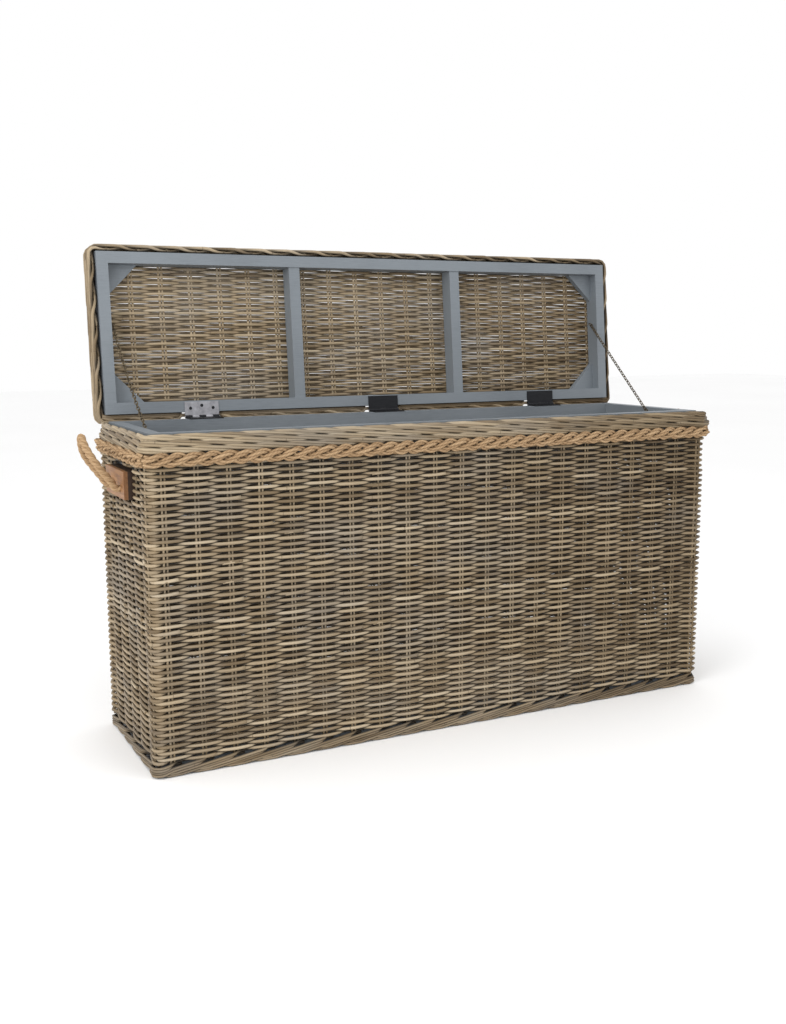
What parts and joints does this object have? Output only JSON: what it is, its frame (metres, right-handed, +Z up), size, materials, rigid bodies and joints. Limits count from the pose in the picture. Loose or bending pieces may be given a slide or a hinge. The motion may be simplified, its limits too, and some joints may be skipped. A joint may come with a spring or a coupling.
{
  "type": "ottoman with storage",
  "caption": "Long rectangular woven cane storage trunk with a painted wooden frame, a hinged lid held open by stay chains, rope trim and rope loop handles.",
  "frame": {"origin": "on the floor, at the centre of the foot border's flat underside", "axes": "+X along the trunk, -Y its front, +Y its hinge side, +Z up; at rest the lid stands open against its chains"},
  "size_m": [1.3506, 0.4201, 0.9302],
  "materials": {
    "cane": "weathered natural cane",
    "paint": "blue-grey painted wood",
    "timber": "oiled wood",
    "ply": "plain plywood",
    "jute": "twisted jute rope",
    "steel": "black lacquered steel",
    "bronze": "dark bronzed wire"
  },
  "bodies": {
    "box": {"top_board_front": "paint", "top_board_back": "paint", "top_board_left": "paint", "top_board_right": "paint", "corner_post_front_left": "timber", "corner_post_front_right": "timber", "corner_post_back_left": "timber", "corner_post_back_right": "timber", "sill_front": "timber", "sill_back": "timber", "sill_left": "timber", "sill_right": "timber", "floor_panel": "ply", "wall_front": "cane", "wall_back": "cane", "wall_left": "cane", "wall_right": "cane", "rim_front": "cane", "rim_back": "cane", "rim_left": "cane", "rim_right": "cane", "rope_trim": "jute", "foot_border": "cane", "handle_block_left": "timber", "handle_block_right": "timber", "handle_screws": "steel", "rope_ends_left": "jute", "rope_ends_right": "jute", "hinge_box_leaf_left": "steel", "hinge_box_leaf_middle": "steel", "hinge_box_leaf_right": "steel", "hinge_pins": "steel", "hinge_screws_box": "steel", "chain_eyes_box": "bronze", "chain_left": "bronze", "chain_right": "bronze"},
    "lid": {"hinge_lid_leaf_left": "steel", "hinge_lid_leaf_middle": "steel", "hinge_lid_leaf_right": "steel", "hinge_screws_lid": "steel", "chain_eyes_lid": "bronze", "lid_rail_front": "paint", "lid_rail_back": "paint", "lid_rail_left": "paint", "lid_rail_right": "paint", "lid_bar_left": "paint", "lid_bar_right": "paint", "lid_gussets": "paint", "lid_panel": "cane", "lid_border_front": "cane", "lid_border_back": "cane", "lid_border_left": "cane", "lid_border_right": "cane"},
    "handle_left": {"rope_loop_left": "jute"},
    "handle_right": {"rope_loop_right": "jute"}
  },
  "joints": [
    {"name": "lid_hinge", "type": "hinge", "parent": "box", "child": "lid", "pos_m": [0, 0.1585, 0.6011], "axis": [1, 0, 0], "range_deg": [0, 95.15], "deforming": ["chain_left", "chain_right"]},
    {"name": "handle_left_bend", "type": "hinge", "parent": "box", "child": "handle_left", "pos_m": [-0.621, 0, 0.494], "axis": [0, -1, 0], "range_deg": [-15, 70]},
    {"name": "handle_right_bend", "type": "hinge", "parent": "box", "child": "handle_right", "pos_m": [0.621, 0, 0.494], "axis": [0, 1, 0], "range_deg": [-15, 70]}
  ]
}
